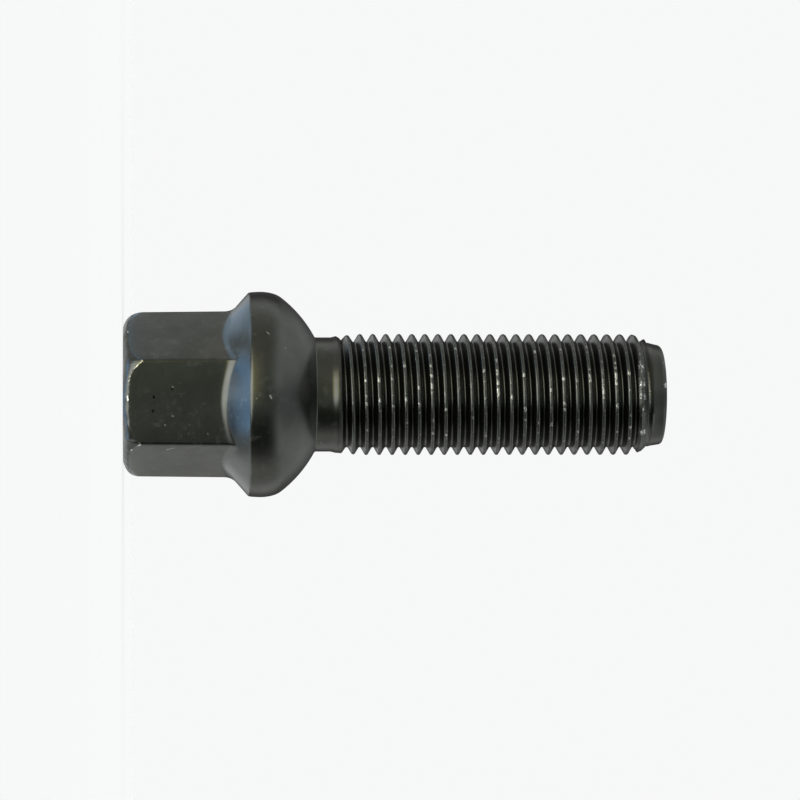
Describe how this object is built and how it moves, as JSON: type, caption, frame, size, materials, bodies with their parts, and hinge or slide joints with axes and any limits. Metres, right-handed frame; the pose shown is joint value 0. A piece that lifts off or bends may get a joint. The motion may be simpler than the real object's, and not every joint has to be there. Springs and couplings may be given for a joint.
{
  "type": "wheel bolt",
  "caption": "One-piece steel wheel bolt with a hexagon head, a collar with a spherical seat, a threaded shank and a short pilot tip; it clamps a car wheel to its hub.",
  "frame": {"origin": "centre of the flat end of the head, which the bolt stands on", "axes": "+Z along the bolt's axis, from the head towards the threaded tip; two flats of the hexagon face along Y"},
  "size_m": [0.0236, 0.0236, 0.0619],
  "materials": {
    "black_steel": "satin black coating, worn to bare steel along some edges"
  },
  "bodies": {
    "root": {"wheel_bolt": "black_steel"}
  },
  "joints": []
}
